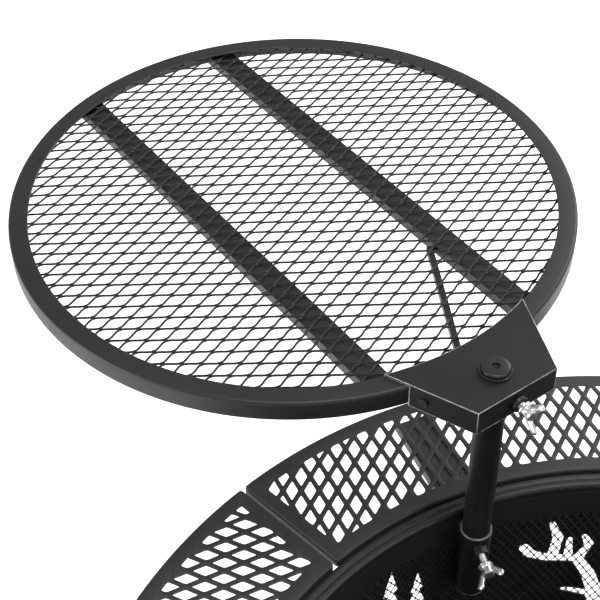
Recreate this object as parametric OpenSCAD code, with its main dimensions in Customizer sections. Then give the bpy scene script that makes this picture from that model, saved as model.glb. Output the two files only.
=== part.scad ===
// Round steel fire pit with a ring shelf and a height-adjustable swivel cooking grate.
// Millimetres, +Z up. The origin is on the ground, on the axis of the pit.
// +Y points to the middle of the first shelf panel.

/* [Shelf ring] */
// Height of the shelf's top face above the ground
shelf_top = 340; // [320:1:380]
// Outer radius of the shelf ring
shelf_r_out = 410; // [405:1:425]
// Inner radius of the shelf ring
shelf_r_in = 306.4; // [306.2:0.1:308]
// Sheet thickness of a shelf panel
shelf_t = 1.5; // [1.5:0.1:2]
// Depth of a panel's folded edge, measured from its top face
shelf_fold = 8; // [6:0.5:10]
// Gap between neighbouring panels
panel_gap = 3; // [1:0.5:4]
// Width of the plain border along a panel's straight ends
end_border = 13; // [11:0.5:16]
// Width of the plain border along a panel's curved edges
arc_border = 12.6; // [11:0.1:15]
// Spacing of the diamond holes around the ring
hole_pitch_x = 14.4; // [14:0.1:16]
// Spacing of the diamond holes across the ring
hole_pitch_y = 28.4; // [28:0.1:32]
// Width of a diamond hole
hole_w = 9.6; // [8:0.1:10.5]
// Length of a diamond hole
hole_l = 19.8; // [17:0.1:21]

/* [Drum] */
// Inner radius of the drum wall
drum_r = 291.5; // [291:0.1:291.6]
// Sheet thickness of the drum wall
drum_t = 1.5; // [1.2:0.1:1.5]
// Height of the drum's lower edge above the ground
drum_bottom = 100; // [96:1:104]
// Thickness of the spark guard's expanded metal
liner_t = 1.2; // [0.8:0.1:1.4]
// Gap between the drum wall and the spark guard
liner_gap = 0.5; // [0.3:0.1:1]
// Depth of the ash dish below its rim
dish_depth = 48; // [40:1:55]

/* [Post] */
// Outer radius of the sliding post
post_r = 11; // [10.8:0.1:11]
// Wall thickness of the post tube
post_t = 1.5; // [1.2:0.1:1.5]
// Length of the post tube
post_len = 240; // [225:5:245]
// Distance of the post from the axis of the pit
post_dist = 278.5; // [277.5:0.1:278.5]
// Direction of the post, seen from above
post_az = 112.5; // [110:0.5:115]
// Outer radius of the socket tube that guides the post
socket_r = 12.5; // [12.5:0.1:12.8]
// Direction that the height lock points to, seen from above
lock_az = 282; // [275:1:300]
// Length of the socket tube
socket_len = 73; // [70:1:90]

/* [Cooking grate] */
// Radius of the grate ring
grate_r = 225; // [222:1:228]
// Width of the ring's flat top face
ring_w = 15.3; // [14:0.1:18]
// Height of the ring's skirt
ring_h = 16.7; // [15:0.1:20]
// Sheet thickness of the ring
ring_t = 1.5; // [1.2:0.1:2]
// Height of the ring's top face above the shelf
grate_rise = 165; // [150:1:180]
// Distance from the post's axis to the centre of the grate
grate_arm = 242.4; // [240:0.1:246]
// Direction from the post to the centre of the grate, seen from above
grate_az = 125.8; // [100:0.1:150]
// Short diagonal of a mesh opening, strand centre to strand centre
mesh_s = 13.5; // [13:0.1:16]
// Long diagonal of a mesh opening, strand centre to strand centre
mesh_l = 24.1; // [23:0.1:28]
// Width of a mesh strand
strand_w = 2; // [1.8:0.1:2.8]
// Thickness of the mesh sheet
mesh_t = 4; // [2:0.5:4]
// Angle between the mesh rows and the cross bars' square
mesh_turn = -6.5; // [-10:0.5:0]
// Distance of each cross bar from the grate's centre line
bar_offset = 66.8; // [62:0.1:70]
// Width of a cross bar
bar_w = 20.5; // [16:0.5:24]
// Height of a cross bar
bar_h = 8; // [6:0.5:9]

/* [Bracket] */
// Thickness of the bracket's sheet
bracket_t = 2; // [1.5:0.1:2.5]
// Height of the bracket's folded flanges
flange_h = 21; // [19:0.5:24]
// Half width of the bracket at its front flange
front_half = 36; // [34:0.5:38]
// Half width of the bracket where it meets the grate ring
back_half = 61; // [58:0.5:63]
// Distance from the post's axis to the front flange's outer face
front_reach = 24; // [22:0.5:25]

/* [Hidden] */
$fn = 96;
clear = 0.3;               // air between pieces that move past each other
running = 0.08;            // radial play of a shaft in its hole
panel_count = 4;
leg_count = 4;
// the arm behind the post is welded to the drum, the others are bolted
welded_arm = 3;
bolted_arms = [for (k = [1 : 8]) if (k != welded_arm) k];
big = 1000;

// rim on top of the drum wall
drum_r_out = drum_r + drum_t;
rim_base = shelf_top - 10;
bead_r = 4.4;
lip_r = 3.8;
bead_at = drum_r + 9.9;

// cut-outs in the drum wall, in each quarter: the stag, then each pine's angle from it and its size
stag_az = 87;
pines = [[39.3, 1], [34, 0.8], [-27.5, 1], [-22.2, 0.8]];

// shelf arms
arm_w = 32;
arm_t = 2;
arm_h = 8;
arm_r_in = shelf_r_in + 3;
arm_r_out = 392;
arm_drop = 32;
spacer_h = 16;
spacer_w = 24;
arm_seat = 1.5;            // how far the spacer's blank runs into the wall and the end plate
m8_r = 4;
m8_af = 13;
m8_nut_h = 6.5;
m8_head_r = 7;
m8_head_h = 3.8;
m4_r = 2;
m4_af = 7;
m4_nut_h = 3.2;
m4_head_r = 3.6;
m4_head_h = 2.2;
drill = 60;                   // longer than the material it runs through
lug_drill = 20;

// spark guard
liner_r = drum_r - liner_gap;
leg_nut_at = liner_r - liner_t - m8_nut_h - 0.2;
liner_top = shelf_top - 35;
liner_bottom = drum_bottom + 8;
socket_notch = 22;

// dish and its ledge
ledge_r = 268;
ledge_t = 2;
dish_t = 2;
dish_flange_r = 288;
dish_r = 262;
dish_z = drum_bottom + ledge_t;
dish_sphere = (dish_r * dish_r + dish_depth * dish_depth) / (2 * dish_depth);
drain_r = 5;

// legs
leg_w = 46;
leg_t = 6;
leg_top = 240;
leg_knee = 110;
foot_r = 350;
foot_len = 46;
pad_h = 9;
pad_seat = 3;

// post and socket
post_x = post_dist * cos(post_az);
post_y = post_dist * sin(post_az);
grate_top = shelf_top + grate_rise;
post_top = grate_top - clear;
socket_top = grate_top - 176;
socket_bottom = socket_top - socket_len;
lock_z = socket_top - 12;
saddle_w = 20;
saddle_h = 20;
plug_len = 20;
cap_len = 12;

// M6 wing bolts
m6_r = 3;
m6_af = 10;
nut_h = 6;
height_stand = 9.5;        // from the lock nut to the height wing bolt's collar
swing_stand = 3;           // from the boss to the swing wing bolt's collar
collar_r = 6;
collar_t = 1.6;
hub_r = 5;
hub_len = 8;
wing_reach = 14;
wing_rise = 15;
wing_t = 3;

// pivot
pivot_r = 6;
pivot_len = 22;
washer_r = 12;
washer_t = 1.6;
head_r = 10.7;
head_h = 3.1;
key_af = 6;
key_depth = 2.2;

// grate
ring_in = grate_r - ring_w;
face_t = 2;
mesh_top = grate_top - face_t;
mesh_r = grate_r - ring_t - 2;
bar_top = mesh_top - mesh_t;
brace_w = 5;
brace_from = [18.5, 10.8];
brace_to = [137, -54.5];
lug_t = 2;
lug_h = 13;
lug_from = 1;              // the lugs start this far beyond the post's axis
lug_screw_at = 14;
boss_r = 6.5;
boss_len = 4.5;
bracket_lock_z = grate_top + bracket_t - 11;
bracket_far = 60;
bracket_slope = (back_half - front_half) / (front_reach + 35);

// ---------- placing ----------
module turned(az) { rotate([0, 0, az]) children(); }
module on_post() { translate([post_x, post_y, 0]) turned(grate_az) children(); }
module on_axis_x() { rotate([0, 90, 0]) children(); }

// ---------- shelf ----------
// One quarter of a ring, with its straight ends pulled in by end_gap and its corners cut.
module quarter(r_in, r_out, end_gap, cut) {
    k = end_gap * sqrt(2);
    corner_x = (sqrt(2 * r_out * r_out - k * k) - k) / 2;
    corner_y = (sqrt(2 * r_in * r_in - k * k) + k) / 2;
    intersection() {
        difference() { circle(r_out); circle(r_in); }
        polygon([[0, k], [big, big + k], [-big, big + k]]);
        translate([-(corner_x - cut), corner_y + cut]) square([2 * (corner_x - cut), big]);
    }
}

module diamond(w, l) { polygon([[w / 2, 0], [0, l / 2], [-w / 2, 0], [0, -l / 2]]); }

module diamond_field() {
    first_row = 386;
    shift = 1.6;
    for (row = [-1 : 13], col = [-20 : 20]) {
        x = (col + (row % 2 == 0 ? 0 : 0.5)) * hole_pitch_x + shift;
        y = first_row - row * hole_pitch_y / 2;
        r = norm([x, y]);
        if (r > shelf_r_in && r < shelf_r_out && abs(x) < y)
            translate([x, y]) diamond(hole_w, hole_l);
    }
}

module shelf_panel(k) {
    half = panel_gap / 2;
    color([0.12, 0.12, 0.13]) turned((k - 1) * 90) {
        translate([0, 0, shelf_top - shelf_t]) linear_extrude(shelf_t) difference() {
            quarter(shelf_r_in, shelf_r_out, half, 3);
            intersection() {
                quarter(shelf_r_in + arc_border, shelf_r_out - arc_border, end_border, 0);
                diamond_field();
            }
        }
        translate([0, 0, shelf_top - shelf_fold]) linear_extrude(shelf_fold - shelf_t) difference() {
            quarter(shelf_r_in, shelf_r_out, half, 3);
            quarter(shelf_r_in + shelf_t, shelf_r_out - shelf_t, half + shelf_t, 3);
        }
    }
}

module shelf_arm(k) {
    z = shelf_top - shelf_t;
    color([0.1, 0.1, 0.11]) turned(22.5 + (k - 1) * 45) difference() {
        union() {
            translate([arm_r_in, -arm_w / 2, z - arm_t]) cube([arm_r_out - arm_r_in, arm_w, arm_t]);
            for (side = [-arm_w / 2, arm_w / 2 - arm_t])
                translate([arm_r_in, side, z - arm_h]) cube([arm_r_out - arm_r_in, arm_t, arm_h]);
            translate([arm_r_in, -arm_w / 2, z - arm_drop]) cube([arm_t, arm_w, arm_drop]);
            translate([drum_r_out - arm_seat, -spacer_w / 2, z - arm_drop])
                cube([arm_r_in - drum_r_out + 2 * arm_seat, spacer_w, spacer_h]);
        }
        cylinder(r = drum_r_out, h = big);
        if (k != welded_arm)
            translate([0, 0, z - arm_drop + spacer_h / 2]) on_axis_x() cylinder(r = m8_r, h = arm_r_out);
    }
}

module arm_hole_axis(k) {
    translate([0, 0, shelf_top - shelf_t - arm_drop + spacer_h / 2])
        turned(22.5 + (k - 1) * 45) on_axis_x() children();
}

module arm_bolts() {
    color([0.15, 0.15, 0.16]) for (k = bolted_arms) arm_hole_axis(k) {
        translate([0, 0, drum_r - liner_gap - m8_head_h]) cylinder(r = m8_head_r, h = m8_head_h);
        translate([0, 0, drum_r - 1]) cylinder(r = m8_r, h = arm_r_in - drum_r + arm_t + m8_nut_h + 2);
    }
}

module hex_nut(af, hole_r, h) {
    difference() {
        cylinder(r = af / sqrt(3), h = h, $fn = 6);
        translate([0, 0, -1]) cylinder(r = hole_r, h = h + 2);
    }
}

module arm_nuts() {
    color([0.6, 0.6, 0.62]) for (k = bolted_arms)
        arm_hole_axis(k) translate([0, 0, arm_r_in + arm_t]) hex_nut(m8_af, m8_r, m8_nut_h);
}

// ---------- drum ----------
// A tapered stroke with round ends, from a (width wa) to b (width wb).
module stroke(a, b, wa, wb) {
    function round_end(c, r, from) = [for (i = [0 : 5]) c + r * [cos(from + 36 * i), sin(from + 36 * i)]];
    way = atan2(b[1] - a[1], b[0] - a[0]);
    polygon(concat(round_end(b, wb / 2, way - 90), round_end(a, wa / 2, way + 90)));
}

module half_stag() {
    stroke([8, 4], [16, 28], 13, 12);
    stroke([16, 28], [27, 49], 12, 11);
    stroke([27, 49], [53, 53], 10, 10);
    stroke([53, 53], [69, 62], 10, 10);
    stroke([69, 62], [75, 73], 10, 9);
    stroke([49, 57], [47, 80], 10, 9);
    stroke([47, 80], [54, 100], 9, 5);
    stroke([36, 54], [37, 77], 8, 4.5);
    stroke([26, 52], [20, 69], 9, 8);
    stroke([20, 69], [25, 80], 8, 5);
    stroke([13, -1], [34, 6], 9, 6);
    polygon([[-0.1, -34], [6, -34], [10, -28], [11, -14], [15, -2], [13, 12], [5, 14], [-0.1, 14]]);
    polygon([[-0.1, -20], [11, -18], [19, -36], [32, -60], [12, -55], [-0.1, -62]]);
}

module stag() {
    half_stag();
    mirror([1, 0]) half_stag();
}

module pine() {
    for (tier = [[0, 17, 40], [28, 14, 36], [54, 11, 36], [78, 8, 32]])
        polygon([[-tier[1], tier[0]], [0, tier[0] - 4], [tier[1], tier[0]], [0, tier[0] + tier[2]]]);
    translate([-4, -14]) square([8, 16]);
}

// Runs a flat outline out through the drum wall, at direction az and height z.
module through_wall(az, z) {
    reach = 20;
    turned(az) translate([drum_r - reach, 0, z]) rotate([90, 0, 90]) linear_extrude(2 * reach) children();
}

module drum_wall() {
    color([0.07, 0.07, 0.075]) difference() {
        translate([0, 0, drum_bottom]) cylinder(r = drum_r_out, h = rim_base - drum_bottom);
        translate([0, 0, drum_bottom - 1]) cylinder(r = drum_r, h = rim_base - drum_bottom + 2);
        for (k = [0 : 3]) {
            through_wall(90 * k + stag_az, shelf_top - 148) stag();
            for (tree = pines) through_wall(90 * k + stag_az + tree[0], shelf_top - 147) scale(tree[1]) pine();
        }
        for (k = bolted_arms) arm_hole_axis(k) cylinder(r = m8_r, h = big);
        for (k = [1 : leg_count]) leg_hole_axes(k) cylinder(r = m8_r, h = big);
    }
}

module drum_rim() {
    color([0.13, 0.13, 0.14]) rotate_extrude() {
        translate([drum_r, rim_base]) square([lip_r * 2 - 0.5, lip_r + 0.4]);
        translate([drum_r + lip_r, shelf_top - 2 - lip_r]) circle(lip_r);
        translate([bead_at, shelf_top - 1.8 - bead_r]) circle(bead_r);
    }
}

module spark_guard() {
    color([0.1, 0.1, 0.1]) difference() {
        tube(liner_r, liner_r - liner_t, liner_bottom, liner_top);
        turned(post_az) translate([0, -socket_notch / 2, socket_bottom - 2]) cube([big, socket_notch, big]);
        for (k = [1 : leg_count]) leg_hole_axes(k) cylinder(r = m8_r + clear, h = big);
    }
}

module dish_ledge() {
    color([0.1, 0.1, 0.11]) difference() {
        translate([0, 0, drum_bottom]) cylinder(r = drum_r, h = ledge_t);
        translate([0, 0, drum_bottom - 1]) cylinder(r = ledge_r, h = ledge_t + 2);
    }
}

module ash_dish() {
    sphere_z = dish_z - dish_depth + dish_sphere;
    color([0.08, 0.08, 0.085]) difference() {
        union() {
            translate([0, 0, dish_z]) cylinder(r = dish_flange_r, h = dish_t);
            intersection() {
                translate([0, 0, sphere_z]) sphere(r = dish_sphere + dish_t, $fn = 128);
                translate([0, 0, dish_z - dish_depth - dish_t])
                    cylinder(r = dish_r + dish_t, h = dish_depth + dish_t);
            }
        }
        intersection() {
            translate([0, 0, sphere_z]) sphere(r = dish_sphere, $fn = 128);
            translate([0, 0, dish_z - dish_depth - 1]) cylinder(r = dish_r, h = dish_depth + 10);
        }
        cylinder(r = drain_r, h = big);
    }
}

// ---------- legs ----------
module leg_outline() {
    x0 = drum_r_out + clear;
    z0 = pad_h - pad_seat;
    polygon([[x0, leg_top], [x0, leg_knee], [foot_r, z0], [foot_r + foot_len, z0],
        [foot_r + foot_len, z0 + leg_t], [foot_r + 4, z0 + leg_t], [x0 + leg_t, leg_knee + 2],
        [x0 + leg_t, leg_top]]);
}

module leg_hole_axes(k) {
    for (z = [leg_top - 20, leg_top - 80])
        translate([0, 0, z]) turned(45 + (k - 1) * 90) on_axis_x() children();
}

module leg(k) {
    color([0.11, 0.11, 0.12]) difference() {
        turned(45 + (k - 1) * 90) translate([0, leg_w / 2, 0]) rotate([90, 0, 0])
            linear_extrude(leg_w) leg_outline();
        leg_hole_axes(k) cylinder(r = m8_r, h = big);
    }
}

module leg_bolts() {
    face = drum_r_out + clear + leg_t;
    color([0.15, 0.15, 0.16]) for (k = [1 : leg_count]) leg_hole_axes(k) {
        translate([0, 0, face]) cylinder(r = m8_head_r, h = m8_head_h);
        translate([0, 0, leg_nut_at - 1]) cylinder(r = m8_r, h = face - leg_nut_at + 2);
    }
}

module leg_nuts() {
    color([0.6, 0.6, 0.62]) for (k = [1 : leg_count])
        leg_hole_axes(k)
            translate([0, 0, leg_nut_at]) hex_nut(m8_af, m8_r, m8_nut_h);
}

module foot_pad(k) {
    color([0.03, 0.03, 0.03]) turned(45 + (k - 1) * 90) difference() {
        translate([foot_r - 2, -leg_w / 2 - 3, 0]) cube([foot_len + 5, leg_w + 6, pad_h]);
        translate([0, leg_w / 2, 0]) rotate([90, 0, 0]) linear_extrude(leg_w) leg_outline();
    }
}

// ---------- post ----------
module tube(r_out, r_in, z0, z1) {
    difference() {
        translate([0, 0, z0]) cylinder(r = r_out, h = z1 - z0);
        translate([0, 0, z0 - 1]) cylinder(r = r_in, h = z1 - z0 + 2);
    }
}

// Axis of the height lock: horizontal, from the post's axis to the inside of the pit.
module lock_axis() {
    translate([post_x, post_y, lock_z]) turned(lock_az) on_axis_x() children();
}

module post_socket() {
    color([0.1, 0.1, 0.11]) difference() {
        translate([post_x, post_y, 0]) tube(socket_r, post_r + running, socket_bottom, socket_top);
        lock_axis() cylinder(r = m6_r + running, h = drill);
    }
}

module socket_saddle() {
    color([0.1, 0.1, 0.11]) difference() {
        turned(post_az) for (z = [socket_bottom + 4, socket_top - saddle_h - 2])
            translate([post_dist, -saddle_w / 2, z]) cube([big, saddle_w, saddle_h]);
        difference() {
            cylinder(r = 2 * big, h = big);
            translate([0, 0, -1]) cylinder(r = drum_r, h = big + 2, $fn = 720);
        }
        translate([post_x, post_y, 0]) cylinder(r = socket_r, h = big, $fn = 360);
    }
}

module height_lock_nut() {
    color([0.2, 0.2, 0.21]) difference() {
        lock_axis() translate([0, 0, socket_r - 1.5])
            cylinder(r = m6_af / sqrt(3), h = nut_h + 1.5, $fn = 6);
        lock_axis() cylinder(r = m6_r + running, h = drill);
        translate([post_x, post_y, 0]) cylinder(r = socket_r, h = big);
    }
}

// A wing bolt along +Z: its tip is at z = tip and its collar starts at z = seat.
module wing_bolt(tip, seat) {
    translate([0, 0, tip]) cylinder(r = m6_r, h = seat - tip + 1);
    translate([0, 0, seat]) cylinder(r = collar_r, h = collar_t);
    translate([0, 0, seat + collar_t]) cylinder(r = hub_r, h = hub_len);
    for (side = [0, 180]) rotate([90, 0, side]) translate([0, 0, -wing_t / 2])
        linear_extrude(wing_t) wing_outline(seat + collar_t);
}

module wing_outline(base) {
    tip_r = 4.5;
    tip_at = [wing_reach - tip_r, base + wing_rise - tip_r];
    polygon([[0, base], [hub_r + 1.5, base], [wing_reach, tip_at[1] - 3], [wing_reach, tip_at[1]],
        tip_at, [tip_at[0] - tip_r, tip_at[1]], [hub_r + 1, base + hub_len], [0, base + hub_len]]);
    translate(tip_at) circle(tip_r);
}

module height_wing_bolt() {
    color([0.8, 0.8, 0.82]) lock_axis() rotate([0, 0, -44])
        wing_bolt(post_r + clear, socket_r + nut_h + height_stand);
}

module post_tube() {
    color([0.06, 0.06, 0.065])
        translate([post_x, post_y, 0]) tube(post_r, post_r - post_t, post_top - post_len, post_top);
}

module post_thread_plug() {
    color([0.3, 0.3, 0.31])
        translate([post_x, post_y, 0]) tube(post_r - post_t, pivot_r, post_top - plug_len, post_top);
}

module post_end_cap() {
    z = post_top - post_len;
    color([0.03, 0.03, 0.03]) translate([post_x, post_y, z]) {
        cylinder(r = post_r - post_t, h = cap_len);
        translate([0, 0, -2]) cylinder(r = post_r, h = 2);
    }
}

module pivot_washer() {
    z = grate_top + bracket_t + clear;
    color([0.05, 0.05, 0.055]) translate([post_x, post_y, 0]) tube(washer_r, pivot_r, z, z + washer_t);
}

module pivot_bolt() {
    z = grate_top + bracket_t + clear + washer_t;
    color([0.06, 0.06, 0.065]) translate([post_x, post_y, z]) difference() {
        union() {
            translate([0, 0, -pivot_len]) cylinder(r = pivot_r, h = pivot_len + 1);
            rotate_extrude() polygon([[0, 0], [head_r, 0], [head_r, 1.6], [head_r - 0.5, 2.5],
                [head_r - 1.8, head_h], [0, head_h]]);
        }
        translate([0, 0, head_h - key_depth]) cylinder(r = key_af / sqrt(3), h = head_h, $fn = 6);
    }
}

// ---------- cooking grate ----------
// The bracket's plan: a trapezoid that widens from the front flange to the grate ring.
module bracket_plan(inset) {
    side = inset * sqrt(1 + bracket_slope * bracket_slope);
    half_at_far = front_half + bracket_slope * (bracket_far + front_reach) - side;
    half_at_front = front_half + bracket_slope * inset - side;
    polygon([[inset - front_reach, -half_at_front], [bracket_far, -half_at_far], [bracket_far, half_at_far],
        [inset - front_reach, half_at_front]]);
}

module grate_bracket() {
    color([0.13, 0.13, 0.135]) on_post() difference() {
        union() {
            translate([0, 0, grate_top]) linear_extrude(bracket_t) difference() {
                bracket_plan(0);
                translate([grate_arm, 0]) circle(ring_in);
            }
            translate([0, 0, grate_top + bracket_t - flange_h]) linear_extrude(flange_h - bracket_t)
                difference() {
                    bracket_plan(0);
                    bracket_plan(bracket_t);
                    translate([grate_arm, 0]) circle(grate_r);
                }
        }
        translate([0, 0, grate_top - 5]) cylinder(r = pivot_r + running, h = drill);
        swing_lock_axis() cylinder(r = m6_r + running, h = drill);
        lug_screw_axes() cylinder(r = m4_r, h = lug_drill, center = true);
    }
}

// Horizontal axis through the post, out through the front flange.
module swing_lock_axis() { translate([0, 0, bracket_lock_z]) rotate([0, -90, 0]) children(); }

module swing_lock_boss() {
    color([0.05, 0.05, 0.055]) on_post() swing_lock_axis() difference() {
        translate([0, 0, front_reach]) cylinder(r = boss_r, h = boss_len);
        cylinder(r = m6_r + running, h = drill);
    }
}

module swing_wing_bolt() {
    color([0.8, 0.8, 0.82]) on_post() swing_lock_axis() rotate([0, 0, -12])
        wing_bolt(post_r + clear, front_reach + boss_len + swing_stand);
}

module grate_ring() {
    edge_r = 1.4;
    color([0.13, 0.13, 0.135]) on_post() translate([grate_arm, 0, 0]) rotate_extrude() {
        translate([ring_in, grate_top - face_t]) square([ring_w - edge_r, face_t]);
        translate([grate_r - ring_t, grate_top - ring_h]) square([ring_t, ring_h - edge_r]);
        translate([grate_r - edge_r, grate_top - edge_r]) circle(edge_r);
    }
}

module grate_mesh() {
    half_s = mesh_s / 2;
    half_l = mesh_l / 2;
    inner = half_s * half_l / norm([half_s, half_l]);
    k = (inner - strand_w / 2) / inner;
    reach = ceil(mesh_r / half_s);
    color([0.1, 0.1, 0.105]) on_post() translate([grate_arm, 0, bar_top]) turned(mesh_turn)
        linear_extrude(mesh_t) difference() {
            circle(mesh_r);
            for (i = [-reach : reach], j = [-reach : reach]) {
                at = [(i + j) * half_s, (i - j) * half_l];
                if (norm([abs(at[0]), abs(at[1]) + half_l * k]) < mesh_r - 1.5)
                    translate(at) diamond(2 * half_s * k, 2 * half_l * k);
            }
        }
}

module cross_bar(side) {
    wall = 1.5;
    color([0.12, 0.12, 0.125]) on_post() translate([grate_arm, 0, 0]) intersection() {
        translate([-grate_r, side * bar_offset - bar_w / 2, bar_top - bar_h]) difference() {
            cube([2 * grate_r, bar_w, bar_h]);
            translate([-1, wall, -1]) cube([2 * grate_r + 2, bar_w - 2 * wall, bar_h - wall + 1]);
        }
        translate([0, 0, bar_top - bar_h - 1]) cylinder(r = grate_r - ring_t, h = bar_h + 2);
    }
}

module grate_brace() {
    run = brace_to - brace_from;
    len = norm(run);
    color([0.12, 0.12, 0.125]) on_post() difference() {
        translate([brace_from[0], brace_from[1], bar_top - bar_h]) rotate([0, 0, atan2(run[1], run[0])])
            translate([-8, -brace_w / 2, 0]) cube([len + 8, brace_w, 5]);
        difference() {
            translate([grate_arm, 0, 0]) cylinder(r = big, h = big);
            translate([grate_arm, 0, -1]) cylinder(r = grate_r - ring_t, h = big + 2);
        }
        translate([0, -big - bar_offset + bar_w / 2, 0]) cube([big, big, big]);
    }
}

// Axes through the ring lugs: z = 0 is a side flange's outer face and +z points outward.
module lug_screw_axes() {
    half_at = front_half + bracket_slope * (lug_screw_at + front_reach);
    for (side = [-1, 1])
        translate([lug_screw_at, side * half_at, grate_top - 9])
            rotate([0, 0, side * atan(bracket_slope)]) rotate([-90 * side, 0, 0]) children();
}

module ring_lugs() {
    color([0.1, 0.1, 0.11]) on_post() difference() {
        translate([0, 0, grate_top - ring_h + 1]) linear_extrude(lug_h) intersection() {
            difference() {
                bracket_plan(bracket_t);
                bracket_plan(bracket_t + lug_t);
                translate([grate_arm, 0]) circle(grate_r);
            }
            translate([lug_from, -big]) square([big, 2 * big]);
        }
        lug_screw_axes() cylinder(r = m4_r, h = lug_drill, center = true);
    }
}

module lug_screws() {
    stack = bracket_t + lug_t;
    color([0.3, 0.3, 0.31]) on_post() lug_screw_axes() {
        cylinder(r = m4_head_r, h = m4_head_h);
        translate([0, 0, -stack - m4_nut_h - 1]) cylinder(r = m4_r, h = stack + m4_nut_h + 2);
        translate([0, 0, -stack - m4_nut_h]) hex_nut(m4_af, m4_r, m4_nut_h);
    }
}

shelf_panel(1);  // shelf_panel_1
shelf_panel(2);  // shelf_panel_2
shelf_panel(3);  // shelf_panel_3
shelf_panel(4);  // shelf_panel_4
shelf_arm(1);  // shelf_arm_1
shelf_arm(2);  // shelf_arm_2
shelf_arm(3);  // shelf_arm_3
shelf_arm(4);  // shelf_arm_4
shelf_arm(5);  // shelf_arm_5
shelf_arm(6);  // shelf_arm_6
shelf_arm(7);  // shelf_arm_7
shelf_arm(8);  // shelf_arm_8
arm_bolts();
arm_nuts();
drum_wall();
drum_rim();
spark_guard();
dish_ledge();
ash_dish();
leg(1);  // leg_1
leg(2);  // leg_2
leg(3);  // leg_3
leg(4);  // leg_4
leg_bolts();
leg_nuts();
foot_pad(1);  // foot_pad_1
foot_pad(2);  // foot_pad_2
foot_pad(3);  // foot_pad_3
foot_pad(4);  // foot_pad_4
post_socket();
socket_saddle();
height_lock_nut();
height_wing_bolt();
post_tube();
post_thread_plug();
post_end_cap();
pivot_bolt();
pivot_washer();
grate_bracket();
swing_lock_boss();
swing_wing_bolt();
grate_ring();
grate_mesh();
cross_bar(1);  // cross_bar_left
cross_bar(-1);  // cross_bar_right
grate_brace();
ring_lugs();
lug_screws();
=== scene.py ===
import math

import bpy
import numpy as np
from mathutils import Matrix, Vector
from mathutils.geometry import tessellate_polygon


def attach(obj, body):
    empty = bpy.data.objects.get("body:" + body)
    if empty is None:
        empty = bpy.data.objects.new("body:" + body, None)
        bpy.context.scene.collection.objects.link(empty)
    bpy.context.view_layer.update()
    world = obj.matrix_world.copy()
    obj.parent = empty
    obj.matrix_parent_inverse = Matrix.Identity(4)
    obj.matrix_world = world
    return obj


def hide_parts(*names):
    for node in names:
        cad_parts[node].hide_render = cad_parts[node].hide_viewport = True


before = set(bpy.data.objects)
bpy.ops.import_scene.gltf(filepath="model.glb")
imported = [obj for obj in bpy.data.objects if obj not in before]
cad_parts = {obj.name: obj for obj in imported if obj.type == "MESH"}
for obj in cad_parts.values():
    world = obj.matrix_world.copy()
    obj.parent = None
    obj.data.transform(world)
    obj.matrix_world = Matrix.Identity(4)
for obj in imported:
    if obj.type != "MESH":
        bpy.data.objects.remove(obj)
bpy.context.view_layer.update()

MM = 0.001
TAU = 2 * math.pi

# ---------- sizes in millimetres, as in the CAD model ----------
SHELF_TOP, SHELF_OUT, SHELF_IN, SHELF_T, SHELF_FOLD = 340.0, 410.0, 306.4, 1.5, 8.0
PANEL_GAP, END_BORDER, ARC_BORDER = 3.0, 13.0, 12.6
PITCH_X, PITCH_Y, HOLE_W, HOLE_L, FIRST_ROW, ROW_SHIFT = 14.4, 28.4, 9.6, 19.8, 386.0, 1.6
DRUM_IN, DRUM_BOTTOM, RIM_BASE, LEDGE_IN, LEDGE_TOP = 291.5, 100.0, 330.0, 268.0, 102.0
GUARD_R, GUARD_LOW, GUARD_TOP, GUARD_COLUMNS, GUARD_LONG = 290.4, 108.0, 305.0, 245, 11.9
GUARD_W, GUARD_T, GUARD_LEAN = 0.95, 0.6, 28.0
POST_AZ, POST_DIST, GRATE_AZ, ARM = 112.5, 278.5, 125.8, 242.4
GRATE_TOP, GRATE_R, RING_IN, RING_DROP, RING_T = 505.0, 225.0, 209.7, 16.7, 2.0
MESH_S, MESH_L, MESH_T, MESH_R, MESH_TURN = 13.5, 24.1, 4.0, 221.5, -6.5
STRAND_W, STRAND_T, STRAND_LEAN = 1.65, 1.0, 56.0
LOCK_Z, LOCK_AZ, BRACKET_LOCK_Z, BRACKET_FRONT = 317.0, 282.0, 496.0, 24.0
SOCKET_R, LOCK_NUT_H, LOCK_STAND, BOSS_H, SWING_STAND, BOLT_TIP = 12.5, 6.0, 9.5, 4.5, 3.0, 11.3
PIVOT_HEAD_R, PIVOT_HEAD_H, PIVOT_KEY = 10.7, 3.1, 6.0
WASHER_LOW, WASHER_T, WASHER_R, WASHER_BORE = GRATE_TOP + 2.3, 1.6, 12.0, 6.0
POST_X = POST_DIST * math.cos(math.radians(POST_AZ))
POST_Y = POST_DIST * math.sin(math.radians(POST_AZ))


# ---------- mesh helpers ----------
def make(name, verts, faces, mat, body, nodes=(), smooth=35, at=None):
    """A mesh object from millimetre vertices, riding on a body and standing for CAD nodes."""
    me = bpy.data.meshes.new(name)
    pts = np.array(verts, float).reshape(-1, 3) * MM
    if at is not None:
        pts = (np.c_[pts, np.ones(len(pts))] @ np.array(at).T)[:, :3]
    me.from_pydata(pts.tolist(), [], [tuple(f) for f in faces])
    me.validate()
    me.update()
    me.shade_smooth()
    me.set_sharp_from_angle(angle=math.radians(smooth))
    me.materials.append(mat)
    ob = bpy.data.objects.new(name, me)
    bpy.context.scene.collection.objects.link(ob)
    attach(ob, body)
    if nodes:
        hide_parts(*nodes)
    return ob


class Parts:
    """Collects vertices and faces of several shells into one mesh."""

    def __init__(self):
        self.v, self.f = [], []

    def add(self, verts, faces, at=None):
        base = sum(len(a) for a in self.v)
        pts = np.array(verts, float).reshape(-1, 3)
        if at is not None:
            m = np.array(at)
            pts = pts @ m[:3, :3].T + m[:3, 3]
        self.v.append(pts)
        self.f.extend([tuple(i + base for i in f) for f in faces])

    def out(self):
        return np.concatenate(self.v), self.f


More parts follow.
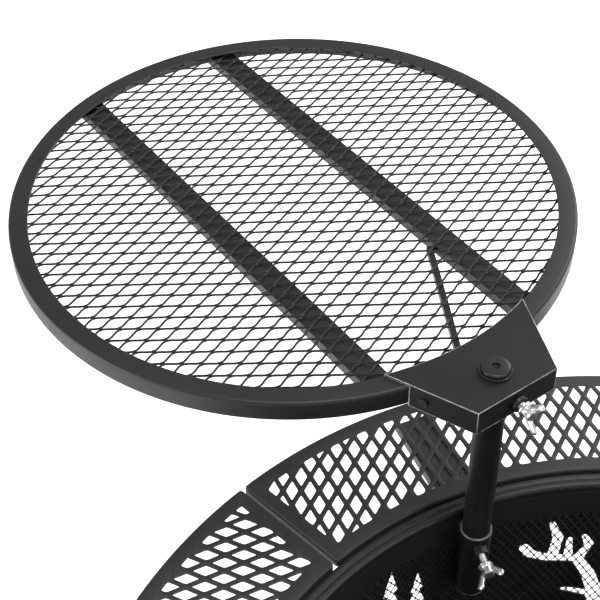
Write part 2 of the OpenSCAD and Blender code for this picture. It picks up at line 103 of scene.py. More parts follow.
def grid_faces(rows, cols, flip=False):
    """Quads between rows of vertices, each row a closed ring."""
    faces = []
    for i in range(rows - 1):
        for j in range(cols):
            a, b = i * cols + j, i * cols + (j + 1) % cols
            c, d = (i + 1) * cols + (j + 1) % cols, (i + 1) * cols + j
            faces.append((a, d, c, b) if flip else (a, b, c, d))
    return faces


def arc(cx, cz, r, a0, a1, n):
    """Points of an arc in the (r, z) plane, angles in degrees."""
    return [(cx + r * math.cos(math.radians(a0 + (a1 - a0) * i / n)),
             cz + r * math.sin(math.radians(a0 + (a1 - a0) * i / n))) for i in range(n + 1)]


def lathe(profile, seg=192, closed=True):
    """Revolves an (r, z) profile about Z. A point with r 0 closes the shape on the axis."""
    verts = []
    for k in range(seg):
        a = TAU * k / seg
        verts += [(r * math.cos(a), r * math.sin(a), z) for r, z in profile]
    faces = []
    n = len(profile)
    for k in range(seg):
        for i in range(n if closed else n - 1):
            j = (i + 1) % n
            if profile[i][0] == 0 and profile[j][0] == 0:
                continue
            a, b = k * n + i, k * n + j
            c, d = ((k + 1) % seg) * n + j, ((k + 1) % seg) * n + i
            if profile[i][0] == 0:
                faces.append((k * n + i, c, b))
            elif profile[j][0] == 0:
                faces.append((a, d, k * n + j))
            else:
                faces.append((a, d, c, b))
    return weld(verts, faces)


def weld(verts, faces, tol=1e-4):
    """Joins vertices that lie on each other."""
    pts = np.array(verts, float)
    key, inv = np.unique(np.round(pts / tol).astype(np.int64), axis=0, return_inverse=True)
    inv = np.asarray(inv).ravel()
    out = np.zeros((len(key), 3))
    out[inv] = pts
    kept = []
    for f in faces:
        g = [int(inv[i]) for i in f]
        h = [g[i] for i in range(len(g)) if g[i] != g[i - 1]]
        if len(set(h)) > 2:
            kept.append(tuple(h))
    return out, kept


def sweep(path, section, up):
    """Sweeps a closed 2-D section along an open path, its first axis sideways and its second along up."""
    p = np.array(path, float)
    n, m = len(p), len(section)
    t = np.roll(p, -1, 0) - np.roll(p, 1, 0)
    t[0], t[-1] = p[1] - p[0], p[-1] - p[-2]
    t /= np.linalg.norm(t, axis=1)[:, None]
    side = np.cross(t, np.tile(np.array(up, float), (n, 1)))
    side /= np.linalg.norm(side, axis=1)[:, None]
    lift = np.cross(side, t)
    s = np.array(section, float)
    verts = p[:, None] + side[:, None] * s[None, :, :1] + lift[:, None] * s[None, :, 1:]
    faces = grid_faces(n, m, flip=True)
    faces += [tuple(range(m)), tuple((n - 1) * m + i for i in reversed(range(m)))]
    return verts.reshape(-1, 3), faces


def corner_curve(p, c, q, steps):
    """Points of a curve from p to q that leans towards the corner c."""
    out = []
    for k in range(steps + 1):
        u = k / steps
        out.append((1 - u) ** 2 * p + 2 * u * (1 - u) * c + u * u * q)
    return out


def rounded_loop(corners, radius, steps=3):
    """A closed polygon with each corner replaced by a short curve."""
    pts = [np.array(c, float) for c in corners]
    out = []
    for i, c in enumerate(pts):
        a, b = pts[i - 1] - c, pts[(i + 1) % len(pts)] - c
        la, lb = np.linalg.norm(a), np.linalg.norm(b)
        d = min(radius, la * 0.45, lb * 0.45)
        out += corner_curve(c + a / la * d, c, c + b / lb * d, steps)
    return np.array(out)


def inset(loop, d):
    """Moves a counter-clockwise loop inward by d (a clockwise one outward)."""
    p = np.array(loop, float)
    e = np.roll(p, -1, 0) - p
    e /= np.linalg.norm(e, axis=1)[:, None] + 1e-12
    n = np.c_[-e[:, 1], e[:, 0]]
    m = n + np.roll(n, 1, 0)
    m /= (np.sum(m * np.roll(n, 1, 0), axis=1))[:, None]
    return p + m * d


def plate(outer, holes, z0, z1, edge, rim):
    """A flat plate with softened hole edges; rim is the outer edge's profile as (inset, z) pairs."""
    parts = Parts()
    hole_rim = [(edge, z1), (edge * 0.3, z1 - edge * 0.3), (0, z1 - edge), (0, z0 + edge), (edge, z0)]
    for loop, prof in [(outer, rim)] + [(h, hole_rim) for h in holes]:
        rings = [np.c_[inset(loop, d), np.full(len(loop), z)] for d, z in prof]
        parts.add(np.concatenate(rings), grid_faces(len(prof), len(loop), flip=True))
    for z, end, turn in ((z1, 0, 1), (z0, -1, -1)):
        loops = [inset(outer, rim[end][0])] + [inset(h, hole_rim[end][0]) for h in holes]
        tris = tessellate_polygon([[Vector((x, y, 0)) for x, y in lp] for lp in loops])
        flat = np.concatenate(loops)
        faces = []
        for a, b, c in tris:
            area = np.cross(np.r_[flat[b] - flat[a]], np.r_[flat[c] - flat[a]])
            if abs(area) > 1e-9:
                faces.append((a, b, c) if area * turn > 0 else (a, c, b))
        parts.add(np.c_[flat, np.full(len(flat), z)], faces)
    return weld(*parts.out())


def frame_at(origin, z_axis):
    """A 4x4 whose Z is z_axis, a level direction, and whose X points up."""
    z = Vector(z_axis).normalized()
    y = z.cross(Vector((0, 0, 1))).normalized()
    x = y.cross(z)
    return Matrix(((x[0], y[0], z[0], origin[0]), (x[1], y[1], z[1], origin[1]),
                   (x[2], y[2], z[2], origin[2]), (0, 0, 0, 1)))


def polar(r, az, z=0.0):
    return (r * math.cos(math.radians(az)), r * math.sin(math.radians(az)), z)


def spin(az):
    return Matrix.Rotation(math.radians(az), 4, "Z")


def grate_matrix(u):
    """Grate frame: origin u out from the post's axis, +X towards the grate's centre."""
    d = polar(u, GRATE_AZ)
    return Matrix.Translation((POST_X + d[0], POST_Y + d[1], 0)) @ spin(GRATE_AZ)


def scale_to_m(m):
    """Same matrix with its translation in metres."""
    out = m.copy()
    out.translation = out.translation * MM
    return out


# ---------- materials ----------
class Nodes:
    def __init__(self, name):
        self.mat = bpy.data.materials.new(name)
        self.mat.use_nodes = True
        self.tree = self.mat.node_tree
        self.bsdf = next(n for n in self.tree.nodes if n.type == "BSDF_PRINCIPLED")

    def add(self, kind, **values):
        n = self.tree.nodes.new(kind)
        for key, value in values.items():
            if key in n.inputs.keys():
                n.inputs[key].default_value = value
            else:
                setattr(n, key, value)
        return n

    def link(self, a, b):
        self.tree.links.new(a, b)

    def coords(self):
        return self.add("ShaderNodeTexCoord").outputs["Object"]

    def noise(self, scale, detail=2.0, rough=0.5, dist=0.0):
        n = self.add("ShaderNodeTexNoise", Scale=scale, Detail=detail, Roughness=rough, Distortion=dist)
        self.link(self.coords(), n.inputs["Vector"])
        return n.outputs["Fac"]

    def ramp(self, value, lo, hi, out_lo=0.0, out_hi=1.0):
        n = self.add("ShaderNodeMapRange")
        n.inputs["From Min"].default_value, n.inputs["From Max"].default_value = lo, hi
        n.inputs["To Min"].default_value, n.inputs["To Max"].default_value = out_lo, out_hi
        self.link(value, n.inputs["Value"])
        return n.outputs["Result"]

    def math(self, op, a, b):
        n = self.add("ShaderNodeMath", operation=op)
        for sock, v in zip(n.inputs, (a, b)):
            if hasattr(v, "is_linked"):
                self.link(v, sock)
            else:
                sock.default_value = v
        return n.outputs[0]

    def mix(self, fac, a, b):
        n = self.add("ShaderNodeMix", data_type="RGBA")
        self.link(fac, n.inputs[0])
        for sock, v in ((n.inputs[6], a), (n.inputs[7], b)):
            if hasattr(v, "is_linked"):
                self.link(v, sock)
            else:
                sock.default_value = (*v, 1)
        return n.outputs[2]

    def edges(self, radius, lo=0.02, hi=0.25):
        """1 on rounded-off edges, 0 on flats."""
        bev = self.add("ShaderNodeBevel", samples=4, Radius=radius * MM)
        geo = self.add("ShaderNodeNewGeometry")
        dot = self.add("ShaderNodeVectorMath", operation="DOT_PRODUCT")
        self.link(bev.outputs[0], dot.inputs[0])
        self.link(geo.outputs["Normal"], dot.inputs[1])
        return self.ramp(dot.outputs["Value"], 1 - lo, 1 - hi)

    def bumps(self, *layers):
        """Stacks (height, strength, distance in mm) layers on the shader's normal."""
        last = None
        for height, strength, dist in layers:
            b = self.add("ShaderNodeBump", Strength=strength, Distance=dist * MM)
            self.link(height, b.inputs["Height"])
            if last:
                self.link(last, b.inputs["Normal"])
            last = b.outputs[0]
        self.link(last, self.bsdf.inputs["Normal"])


def coated(name, colour, rough, peel=0.35, wear_and_highlight_amount=0.5, sooty=0.0, wear_and_highlight_colour=(0.16, 0.16, 0.165), spec=0.5, edge=0.8,
           hi=0.25):
    """Black powder coat: fine orange peel, faint cloudy patches, and edges mixed towards a lighter colour
    that stands for rubbed wear and also paints highlight lines along the edges. edge is the width in
    millimetres that counts as an edge and hi how far it has to turn to get the full edge colour."""
    n = Nodes(name)
    cloud = n.noise(14, 4, 0.6)
    speck = n.noise(900, 2, 0.6)
    dark = tuple(c * 0.8 for c in colour)
    light = tuple(c * 1.3 + 0.002 for c in colour)
    col = n.mix(n.ramp(cloud, 0.3, 0.7), dark, light)
    col = n.mix(n.ramp(speck, 0.62, 0.75, 0, 0.35), col, tuple(c * 1.8 + 0.004 for c in colour))
    if sooty:
        soot = n.math("MULTIPLY", n.ramp(n.noise(6, 6, 0.7, 0.6), 0.45, 0.75), sooty)
        col = n.mix(soot, col, (0.05, 0.046, 0.042))
    # edge mask: partly real rubbing wear, partly painted highlight lines along rounded edges
    wear_and_highlight_mask = n.math("MULTIPLY", n.edges(edge, hi=hi), n.ramp(n.noise(55, 4, 0.7), 0.35, 0.7, 0.25, wear_and_highlight_amount))
    col = n.mix(wear_and_highlight_mask, col, wear_and_highlight_colour)
    n.link(col, n.bsdf.inputs["Base Color"])
    r = n.ramp(n.noise(22, 5, 0.6), 0.25, 0.75, rough - 0.05, rough + 0.07)
    r = n.math("SUBTRACT", r, n.math("MULTIPLY", wear_and_highlight_mask, 0.12))
    n.link(r, n.bsdf.inputs["Roughness"])
    n.bsdf.inputs["Specular IOR Level"].default_value = spec
    n.bumps((n.noise(420, 2, 0.5), peel, 0.05), (n.noise(60, 3, 0.5), peel * 0.5, 0.12))
    return n.mat


def metal(name, colour, rough, grain=0.3, stain=0.25):
    n = Nodes(name)
    cloud = n.noise(120, 4, 0.65)
    dull = tuple(c * 0.55 for c in colour)
    col = n.mix(n.ramp(cloud, 0.35, 0.75, 0, stain * 2), colour, dull)
    n.link(col, n.bsdf.inputs["Base Color"])
    n.link(n.ramp(n.noise(260, 3, 0.6), 0.3, 0.7, rough - 0.06, rough + 0.12), n.bsdf.inputs["Roughness"])
    n.bsdf.inputs["Metallic"].default_value = 1.0
    n.bumps((n.noise(700, 2, 0.6), grain, 0.04), (n.noise(140, 2, 0.5), grain, 0.12))
    return n.mat


def plastic(name, colour, rough):
    n = Nodes(name)
    dark = tuple(c * 0.8 for c in colour)
    light = tuple(c * 1.4 for c in colour)
    col = n.mix(n.ramp(n.noise(30, 3), 0.3, 0.7), dark, light)
    scuff = n.math("MULTIPLY", n.edges(1.0), n.ramp(n.noise(90, 4), 0.4, 0.7, 0, 0.5))
    n.link(n.mix(scuff, col, (0.09, 0.09, 0.09)), n.bsdf.inputs["Base Color"])
    n.link(n.ramp(n.noise(40, 3), 0.3, 0.7, rough - 0.06, rough + 0.06), n.bsdf.inputs["Roughness"])
    n.bumps((n.noise(600, 3, 0.6), 0.4, 0.06))
    return n.mat


COAT = coated("black_powder_coat", (0.010, 0.010, 0.0105), 0.42, spec=0.42)
SHELF_COAT = coated("shelf_powder_coat", (0.014, 0.014, 0.0145), 0.5, peel=0.45)
HEAT = coated("heat_black_steel", (0.008, 0.008, 0.008), 0.55, peel=0.5, sooty=0.25)
# darker copy of the black powder coat: its base colour is painted shade on the bracket, post and socket, and
# its near-white edge colour is a painted highlight along their edges and the socket mouth
SHADE_DARKENED_COAT_WITH_HIGHLIT_EDGES = coated("bracket_coat_painted_shade_and_edge_highlights", (0.007, 0.007, 0.0073), 0.46, peel=0.3, wear_and_highlight_colour=(0.85, 0.85, 0.86),
                      wear_and_highlight_amount=1.0, spec=0.3, edge=1.2, hi=0.08)
STRAND_COAT = coated("grate_mesh_coat", (0.009, 0.009, 0.0093), 0.4, peel=0.2, wear_and_highlight_amount=0.35,
                     wear_and_highlight_colour=(0.09, 0.09, 0.09))
WIRE = coated("wire_cloth", (0.006, 0.006, 0.006), 0.55, peel=0.2, wear_and_highlight_amount=0.3)
BOLT = coated("black_fastener", (0.008, 0.008, 0.0085), 0.33, peel=0.15, wear_and_highlight_amount=0.6)
ZINC = metal("zinc_plated", (0.78, 0.78, 0.79), 0.27)
PAD = plastic("black_plastic", (0.012, 0.012, 0.012), 0.55)


# ---------- CAD nodes that stay: materials and softened edges ----------
def keep(node, mat, width, segments=2):
    """Gives a CAD node its material and rounds its edges over width millimetres."""
    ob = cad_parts[node]
    ob.data.materials.clear()
    ob.data.materials.append(mat)
    m = ob.modifiers.new("soft_edges", "BEVEL")
    m.width, m.segments, m.limit_method = width * MM, segments, "ANGLE"
    m.angle_limit, m.harden_normals, m.use_clamp_overlap = math.radians(32), False, True


for k in range(1, 5):
    keep(f"leg_{k}", COAT, 0.8, 3)
    keep(f"foot_pad_{k}", PAD, 1.2, 3)
for k in range(1, 9):
    keep(f"shelf_arm_{k}", SHELF_COAT, 0.5)
for node, mat, width in (
        ("arm_bolts", BOLT, 0.8), ("arm_nuts", ZINC, 0.5), ("leg_bolts", BOLT, 0.8), ("leg_nuts", ZINC, 0.5),
        ("drum_wall", HEAT, 0.3), ("post_socket", SHADE_DARKENED_COAT_WITH_HIGHLIT_EDGES, 0.3), ("socket_saddle", HEAT, 0.4),
        ("height_lock_nut", BOLT, 0.5), ("post_tube", SHADE_DARKENED_COAT_WITH_HIGHLIT_EDGES, 0.3), ("post_thread_plug", HEAT, 0.3),
        ("post_end_cap", PAD, 0.4), ("grate_bracket", SHADE_DARKENED_COAT_WITH_HIGHLIT_EDGES, 0.7), ("cross_bar_left", COAT, 0.7),
        ("cross_bar_right", COAT, 0.7), ("grate_brace", COAT, 0.5), ("ring_lugs", SHADE_DARKENED_COAT_WITH_HIGHLIT_EDGES, 0.4),
        ("lug_screws", BOLT, 0.4)):
    keep(node, mat, width)


# ---------- cooking grate ----------
def grate_ring():
    """A flat flange with a bent-down skirt whose lower edge is round."""
    edge, lip = 2.4, 0.75
    under, foot = GRATE_TOP - RING_T, GRATE_TOP - RING_DROP
    prof = [(RING_IN + 0.5, GRATE_TOP), *arc(GRATE_R - edge, GRATE_TOP - edge, edge, 90, 0, 6),
            (GRATE_R, foot + 0.7), *arc(GRATE_R - lip, foot + lip, lip, 0, -180, 4),
            (GRATE_R - 2 * lip, GRATE_TOP - edge - 1), *arc(GRATE_R - edge - 0.6, under - 0.9, 0.9, 0, 90, 3),
            (RING_IN + 0.5, under), (RING_IN, under + 0.5), (RING_IN, GRATE_TOP - 0.5)]
    v, f = lathe(prof, 288)
    make("ring_frame", v, f, COAT, "grate", ["grate_ring"],
         at=scale_to_m(grate_matrix(ARM)))


def expanded_rows(short, long, width, thick, lean, inside, reach_s, reach_l, step=8, chamfer=0.2, flat=0.1):
    """Rows of expanded metal in the XY plane: short way along X, long way along Y. Each row is a strand
    that goes from side to side between its knuckles and leans out of the plane. Gives the strands' runs of
    points, their section and the direction of their flat side."""
    half_s, half_l = short / 2, long / 2
    c, w, t = chamfer, width / 2, thick / 2
    sec = [(w - c, t), (w, t - c), (w, -t + c), (w - c, -t),
           (-w + c, -t), (-w, -t + c), (-w, t - c), (-w + c, t)]
    if not chamfer:
        sec = [(w, t), (w, -t), (-w, -t), (-w, t)]
    normal = np.array((-math.sin(lean), 0.0, math.cos(lean)))
    along = np.array((math.cos(lean), 0.0, math.sin(lean)))
    rows = range(-int(reach_s / half_s) - 1, int(reach_s / half_s) + 1)
    count = int(reach_l / half_l) + 2
    runs = []
    for row in rows:
        run = []
        for col in range(-count, count):
            k0, k1 = (row, row + 1) if (col + row) % 2 == 1 else (row + 1, row)
            for i in range(step):
                e = min(max((i / step - flat) / (1 - 2 * flat), 0), 1)
                u = k0 + (k1 - k0) * (0.6 * e * e * (3 - 2 * e) + 0.4 * e)
                p = np.array((u * half_s, (col + i / step) * half_l, 0.0)) + along * (1 - 2 * (u - row)) * w
                if inside(p[0], p[1]):
                    run.append(p)
                elif run:
                    runs.append(np.array(run))
                    run = []
        if run:
            runs.append(np.array(run))
    return [r for r in runs if len(r) > 3], sec, normal


def grate_mesh():
    """The grate's expanded metal, turned a little against the bracket."""
    mid = GRATE_TOP - RING_T - MESH_T / 2
    runs, sec, normal = expanded_rows(MESH_S, MESH_L, STRAND_W, STRAND_T, math.radians(STRAND_LEAN),
                                      lambda x, y: math.hypot(x, y) < MESH_R - 0.6, MESH_R, MESH_R)
    parts = Parts()
    for run in runs:
        parts.add(*sweep(run + np.array((0, 0, mid)), sec, up=normal))
    v, f = parts.out()
    make("expanded_metal", v, f, STRAND_COAT, "grate", ["grate_mesh"], smooth=30,
         at=scale_to_m(grate_matrix(ARM) @ spin(MESH_TURN)))


grate_ring()
grate_mesh()


# ---------- fasteners ----------
def hex_socket_head(r, h, key, seg=96):
    """A low button head with a chamfered hexagon socket, standing on z 0 about +Z."""
    depth, shoulder = h * 0.7, 1.5
    dome = [(r - 0.2, 0), (r, 0.25), (r, h * 0.45)]
    dome += [(r - shoulder * (1 - math.cos(math.radians(t))), h * (0.45 + 0.47 * math.sin(math.radians(t))))
             for t in (18, 36, 54, 72, 88)]
    dome += [(r * 0.7, h * 0.97), (r * 0.5, h)]
    parts = Parts()
    rings = [[(pr * math.cos(TAU * k / seg), pr * math.sin(TAU * k / seg), pz) for k in range(seg)]
             for pr, pz in dome]
    hexa = []
    for grow, z in ((1.12, h), (1.0, h - 0.3), (1.0, h - depth), (0.55, h - depth - 0.25)):
        ring = []
        for k in range(seg):
            a = TAU * k / seg
            rr = key / 2 / math.cos((a % (TAU / 6)) - TAU / 12)
            ring.append((rr * grow * math.cos(a), rr * grow * math.sin(a), z))
        hexa.append(ring)
    rings += hexa
    parts.add(sum(rings, []), grid_faces(len(rings), seg))
    parts.add([(0, 0, h - depth - 0.4)] + hexa[-1], [(0, i + 1, (i + 1) % seg + 1) for i in range(seg)])
    parts.add([(0, 0, 0)] + rings[0], [(0, (i + 1) % seg + 1, i + 1) for i in range(seg)])
    return weld(*parts.out())


def washer(r_out, r_in, z0, z1):
    e = 0.25
    return lathe([(r_in + e, z1), (r_out - e, z1), (r_out, z1 - e), (r_out, z0 + e), (r_out - e, z0),
                  (r_in + e, z0), (r_in, z0 + e), (r_in, z1 - e)], 96)


def thread(r, z0, z1, pitch=1.0, seg=28, depth=0.55):
    """A screw thread with a real helix, tapered at its tip (z0)."""
    per = 10
    rows = int((z1 - z0) / pitch * per) + 1
    verts = []
    for i in range(rows + 1):
        z = z0 + (z1 - z0) * i / rows
        for k in range(seg):
            phase = (z / pitch - k / seg) % 1.0
            tri = abs(2 * phase - 1)
            rr = r - depth * min(max(1.25 * tri - 0.12, 0), 1)
            rr = min(rr, r - 1.0 + (z - z0) * 0.9)
            a = TAU * k / seg
            verts.append((rr * math.cos(a), rr * math.sin(a), z))
    faces = grid_faces(rows + 1, seg)
    faces += [tuple(reversed(range(seg))), tuple(rows * seg + k for k in range(seg))]
    return verts, faces


def wing_bolt(tip, seat):
    """Cast wing bolt about +Z from its tip to its seat: thread, conical collar, hub and two waisted wings."""
    around = 16
    parts = Parts()
    parts.add(*thread(3.0, tip, seat - 0.6))
    body = [(0, seat - 0.8), (4.6, seat - 0.8), (5.7, seat - 0.3), (6.0, seat + 0.4), (5.8, seat + 1.3),
            (4.9, seat + 2.0), (4.5, seat + 3.2), (4.6, seat + 6.0), (4.95, seat + 7.6), (4.8, seat + 8.6),
            (4.1, seat + 9.3), (2.2, seat + 9.6), (0, seat + 9.6)]
    parts.add(*lathe(body, 48, closed=False))
    base = seat + 1.6
    for side in (1, -1):
        rows = []
        spine = [(2.0, base + 3.9, 3.2, 1.6), (4.2, base + 4.2, 3.0, 1.55), (6.0, base + 5.4, 2.7, 1.5),
                 (7.6, base + 7.3, 2.5, 1.45), (8.9, base + 9.3, 2.7, 1.5), (9.9, base + 10.9, 3.0, 1.5),
                 (10.7, base + 12.3, 2.9, 1.4), (11.3, base + 13.5, 2.0, 1.1), (11.7, base + 14.2, 0.8, 0.5)]
        for i, (x, z, half, th) in enumerate(spine):
            a, b = spine[max(i - 1, 0)], spine[min(i + 1, len(spine) - 1)]
            d = Vector((b[0] - a[0], b[1] - a[1])).normalized()
            across = (d[1], -d[0])
            ring = []
            for q in range(around):
                t = TAU * q / around
                cu = math.copysign(abs(math.cos(t)) ** 0.7, math.cos(t)) * half
                cv = math.copysign(abs(math.sin(t)) ** 0.7, math.sin(t)) * th
                ring.append(((x + across[0] * cu) * side, cv, z + across[1] * cu))
            rows.append(ring)
        faces = grid_faces(len(rows), around, flip=side > 0)
        cap = range((len(rows) - 1) * around, len(rows) * around)
        faces.append(tuple(cap) if side < 0 else tuple(reversed(cap)))
        parts.add(sum(rows, []), faces)
    return parts.out()


def on_post(z, az, roll):
    """Placement with Z pointing out of the post's axis at height z along az, turned by roll about it."""
    return scale_to_m(frame_at((POST_X, POST_Y, z), polar(1, az)) @ spin(roll))


def pivot_hardware():
    v, f = hex_socket_head(PIVOT_HEAD_R, PIVOT_HEAD_H, PIVOT_KEY)
    head = Matrix.Translation((POST_X, POST_Y, WASHER_LOW + WASHER_T)) @ spin(20)
    make("pivot_button_head", v, f, BOLT, "post", ["pivot_bolt"], at=scale_to_m(head))
    v, f = washer(WASHER_R, WASHER_BORE, WASHER_LOW, WASHER_LOW + WASHER_T)
    make("pivot_flat_washer", v, f, BOLT, "post", ["pivot_washer"],
         at=scale_to_m(Matrix.Translation((POST_X, POST_Y, 0))))


def lock_bolts():
    v, f = wing_bolt(BOLT_TIP, SOCKET_R + LOCK_NUT_H + LOCK_STAND)
    make("height_wing_screw", v, f, ZINC, "height_bolt", ["height_wing_bolt"],
         at=on_post(LOCK_Z, LOCK_AZ, -44))
    v, f = wing_bolt(BOLT_TIP, BRACKET_FRONT + BOSS_H + SWING_STAND)
    make("swing_wing_screw", v, f, ZINC, "swing_bolt", ["swing_wing_bolt"],
         at=on_post(BRACKET_LOCK_Z, GRATE_AZ + 180, -12))


def swing_boss():
    prof = [(3.1, 0), (6.3, 0), (6.5, 0.3), (6.5, 3.4), (5.9, 4.3), (5.2, BOSS_H), (3.6, BOSS_H), (3.1, 4.0)]
    v, f = lathe([(r, BRACKET_FRONT + q) for r, q in prof], 64)
    make("swing_boss", v, f, BOLT, "grate", ["swing_lock_boss"],
         at=on_post(BRACKET_LOCK_Z, GRATE_AZ + 180, 0))


pivot_hardware()
lock_bolts()
swing_boss()


# ---------- shelf ring ----------
CORNER_STEPS, EDGE_STEPS = 6, 8
PANEL_CORNER, FOLD_RADIUS, DIAMOND_ROUND, SMALLEST_HOLE = 3.6, 2.2, 1.5, 12


def unit(v):
    return v / np.linalg.norm(v)


def quarter_loop(r_in, r_out, half, corner):
    """Outline of one panel about +Y, counter-clockwise, its corners rounded."""
    k = half * math.sqrt(2)
    xo = (math.sqrt(2 * r_out * r_out - k * k) - k) / 2
    xi = (math.sqrt(2 * r_in * r_in - k * k) - k) / 2
    ao = math.degrees(math.atan2(xo + k, xo))
    ai = math.degrees(math.atan2(xi + k, xi))
    outer = [polar(r_out, ao + (180 - 2 * ao) * i / 72)[:2] for i in range(73)]
    inner = [polar(r_in, 180 - ai - (180 - 2 * ai) * i / 60)[:2] for i in range(61)]
    pts = []
    for this, after in ((outer, inner), (inner, outer)):
        bow = [np.array(p) for p in this]
        flat = [p for p in bow if min(np.linalg.norm(p - bow[0]), np.linalg.norm(p - bow[-1])) > corner]
        c, far = bow[-1], np.array(after[0])
        length = np.linalg.norm(far - c)
        d = (far - c) / length
        back = unit(flat[-1] - c)
        fwd = unit(np.array(after[1]) - far)
        pts += flat
        pts += corner_curve(c + back * corner, c, c + d * corner, CORNER_STEPS)
        for i in range(1, EDGE_STEPS):
            pts.append(c + d * (corner + (length - 2 * corner) * i / EDGE_STEPS))
        pts += corner_curve(far - d * corner, far, far + fwd * corner, CORNER_STEPS)
    return np.array(pts)


def clip_polygon(poly, inside, cross):
    out = []
    for i, p in enumerate(poly):
        q = poly[(i + 1) % len(poly)]
        if inside(p):
            out.append(p)
        if inside(p) != inside(q):
            out.append(cross(p, q))
    return out


def bisect(fn):
    """Crossing finder for a boundary given as a signed function."""
    def find(p, q):
        a, b = np.array(p, float), np.array(q, float)
        for _ in range(30):
            m = (a + b) / 2
            if (fn(m) > 0) == (fn(a) > 0):
                a = m
            else:
                b = m
        return (a + b) / 2
    return find


def diamond_loops(shift):
    """The diamonds of one panel, cut off by its plain borders, corners rounded, clockwise."""
    lim = [lambda p: np.hypot(*p) - (SHELF_IN + ARC_BORDER),
           lambda p: (SHELF_OUT - ARC_BORDER) - np.hypot(*p),
           lambda p: (p[1] - p[0]) / math.sqrt(2) - END_BORDER,
           lambda p: (p[1] + p[0]) / math.sqrt(2) - END_BORDER]
    loops = []
    for row in range(-1, 14):
        for col in range(-20, 21):
            x = (col + (0 if row % 2 == 0 else 0.5)) * PITCH_X + shift
            y = FIRST_ROW - row * PITCH_Y / 2
            poly = [np.array((x + HOLE_W / 2, y)), np.array((x, y + HOLE_L / 2)),
                    np.array((x - HOLE_W / 2, y)), np.array((x, y - HOLE_L / 2))]
            for fn in lim:
                if poly:
                    poly = clip_polygon(poly, lambda p, g=fn: g(p) > 0, bisect(fn))
            if len(poly) < 3:
                continue
            a = np.array(poly)
            area = 0.5 * abs(np.sum(a[:, 0] * np.roll(a[:, 1], -1) - a[:, 1] * np.roll(a[:, 0], -1)))
            if area < SMALLEST_HOLE:
                continue
            loops.append(rounded_loop(poly, DIAMOND_ROUND)[::-1])
    return loops


def shelf_panels():
    top, low = SHELF_TOP, SHELF_TOP - SHELF_FOLD
    rim = [(FOLD_RADIUS, top)]
    for i in range(1, 6):
        a = math.radians(90 * i / 5)
        rim.append((FOLD_RADIUS * (1 - math.sin(a)), top - FOLD_RADIUS * (1 - math.cos(a))))
    rim += [(0, low + 0.3), (0.3, low), (1.7, low), (2.0, low + 0.3),
            (2.0, top - SHELF_T - 0.6), (2.6, top - SHELF_T)]
    outline = quarter_loop(SHELF_IN, SHELF_OUT, PANEL_GAP / 2, PANEL_CORNER)
    v, f = plate(outline, diamond_loops(ROW_SHIFT), top - SHELF_T, top, edge=0.45, rim=rim)
    for k in range(4):
        make(f"panel_{k + 1}", v, f, SHELF_COAT, "pit", [f"shelf_panel_{k + 1}"],
             at=scale_to_m(spin(90 * k)))


shelf_panels()


# ---------- drum ----------
def drum_rim():
    """Two beads side by side: centre and radius of each."""
    c1, r1 = (295.3, 334.2), 3.8
    c2, r2 = (301.4, 333.8), 4.4
    prof = [(DRUM_IN, RIM_BASE), *arc(*c1, r1, 180, 42, 10), *arc(*c2, r2, 128, -90, 14), (299.2, RIM_BASE)]
    v, f = lathe(prof, 288)
    make("rolled_rim", v, f, COAT, "pit", ["drum_rim"], smooth=50)


def guard_mesh():
    """Fine expanded metal, its long way upright, bent round inside the drum, with a notch for the socket."""
    notch_half, notch_low, margin = 11.0, 254.0, 0.4
    mid, reach = 206.0, 106
    half = TAU * GUARD_R / 2

    def inside(x, y):
        z = y + mid
        return (-half <= x < half and GUARD_LOW + margin < z < GUARD_TOP - margin
                and not (abs(x) < notch_half and z > notch_low))

    runs, sec, normal = expanded_rows(TAU * GUARD_R / GUARD_COLUMNS, GUARD_LONG, GUARD_W, GUARD_T,
                                      math.radians(GUARD_LEAN), inside, half, reach, step=4, chamfer=0,
                                      flat=0.12)
    parts = Parts()
    for run in runs:
        v, f = sweep(run, sec, up=normal)
        a = math.radians(POST_AZ) - v[:, 0] / GUARD_R
        q = GUARD_R + v[:, 2]
        parts.add(np.c_[q * np.cos(a), q * np.sin(a), v[:, 1] + mid], f)
    v, f = parts.out()
    make("guard_expanded", v, f, WIRE, "pit", ["spark_guard"], smooth=30)


def ash_dish():
    """A shallow bowl, part of a sphere, with a drain hole and a flat brim that rests on the ledge."""
    depth, r, brim_z, drain_r, thick = 48.0, 262.0, LEDGE_TOP, 5.0, 2
    big = (r * r + depth * depth) / (2 * depth)
    cz = brim_z - depth + big
    half = math.degrees(math.asin(r / big))
    a_in = math.degrees(math.asin(drain_r / big))
    inner = arc(0, cz, big, -90 + a_in, -90 + half - 1.2, 40)
    outer = arc(0, cz, big + thick, -90 + half, -90 + a_in, 40)
    brim = [(264.0, brim_z + 1.2), (267.5, brim_z + thick), (287.3, brim_z + thick), (288.0, brim_z + 1.4),
            (288.0, brim_z + 0.6), (287.3, brim_z), (266.5, brim_z)]
    prof = inner + brim + outer
    v, f = lathe(prof, 192)
    make("dish_shell", v, f, HEAT, "pit", ["ash_dish"], smooth=40)


def dish_ledge():
    e = 0.3
    v, f = lathe([(LEDGE_IN, DRUM_BOTTOM + e), (LEDGE_IN + e, DRUM_BOTTOM), (DRUM_IN, DRUM_BOTTOM),
                  (DRUM_IN, LEDGE_TOP), (LEDGE_IN + e, LEDGE_TOP), (LEDGE_IN, LEDGE_TOP - e)], 192)
    make("ledge_ring", v, f, HEAT, "pit", ["dish_ledge"])


drum_rim()
guard_mesh()
ash_dish()
dish_ledge()


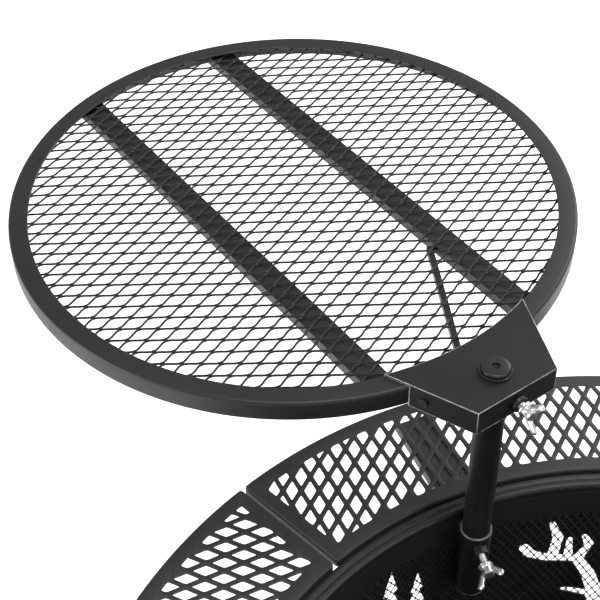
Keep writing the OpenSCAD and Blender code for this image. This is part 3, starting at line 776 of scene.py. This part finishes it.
# ---------- stage, light and camera ----------
def floor():
    n = Nodes("pale_floor")
    col = n.mix(n.ramp(n.noise(1.5, 2), 0.3, 0.7), (0.86, 0.86, 0.86), (0.9, 0.9, 0.9))
    n.link(col, n.bsdf.inputs["Base Color"])
    n.bsdf.inputs["Roughness"].default_value = 0.7
    n.bsdf.inputs["Emission Color"].default_value = (1, 1, 1, 1)
    n.bsdf.inputs["Emission Strength"].default_value = 0.75
    me = bpy.data.meshes.new("floor")
    half = 60.0
    corners = [(-half, -half, 0), (half, -half, 0), (half, half, 0), (-half, half, 0)]
    me.from_pydata(corners, [], [(0, 1, 2, 3)])
    me.materials.append(n.mat)
    ob = bpy.data.objects.new("floor", me)
    bpy.context.scene.collection.objects.link(ob)


def area(name, loc, target, size, power, size_y=None):
    li = bpy.data.lights.new(name, "AREA")
    li.shape = "RECTANGLE"
    li.size, li.size_y, li.energy = size, size_y or size, power
    ob = bpy.data.objects.new(name, li)
    ob.location = loc
    ob.rotation_mode = "QUATERNION"
    ob.rotation_quaternion = (Vector(target) - Vector(loc)).to_track_quat("-Z", "Y")
    bpy.context.scene.collection.objects.link(ob)
    return ob


def camera():
    """Looks down at the grate from in front of the pit, rolled a little."""
    pitch, heading, roll = math.radians(43.595), math.radians(0.75), math.radians(0.917)
    turn = Matrix.Rotation(heading, 3, "Z")
    right = turn @ Vector((1, 0, 0))
    forward = turn @ Vector((0, math.cos(pitch), -math.sin(pitch)))
    down = turn @ Vector((0, -math.sin(pitch), -math.cos(pitch)))
    c, s = math.cos(roll), math.sin(roll)
    right, down = right * c + down * s, down * c - right * s
    cam = bpy.data.cameras.new("camera")
    cam.lens, cam.sensor_width = 84.56, 36.0
    ob = bpy.data.objects.new("camera", cam)
    m = Matrix((right, -down, -forward)).transposed().to_4x4()
    m.translation = (-0.2325, -0.4174, 1.2182)
    ob.matrix_world = m
    bpy.context.scene.collection.objects.link(ob)
    bpy.context.scene.camera = ob


def studio():
    world = bpy.data.worlds.new("studio")
    world.use_nodes = True
    bg = next(n for n in world.node_tree.nodes if n.type == "BACKGROUND")
    bg.inputs[0].default_value = (1, 1, 1, 1)
    bg.inputs[1].default_value = 0.55
    bpy.context.scene.world = world
    bpy.context.scene.view_settings.view_transform = "Standard"
    area("back_soft_box", (1.5, 2.3, 1.9), (0.1, 0.35, 0.34), 1.3, 32)
    area("overhead_soft_box", (0.1, 0.1, 2.7), (0.0, 0.25, 0.34), 1.1, 26)
    area("left_soft_box", (-2.3, -0.5, 0.9), (-0.3, 0.2, 0.45), 1.0, 26, 1.4)
    area("right_soft_box", (2.2, -0.6, 1.6), (0.0, 0.2, 0.45), 0.7, 14, 0.7)


floor()
studio()
camera()
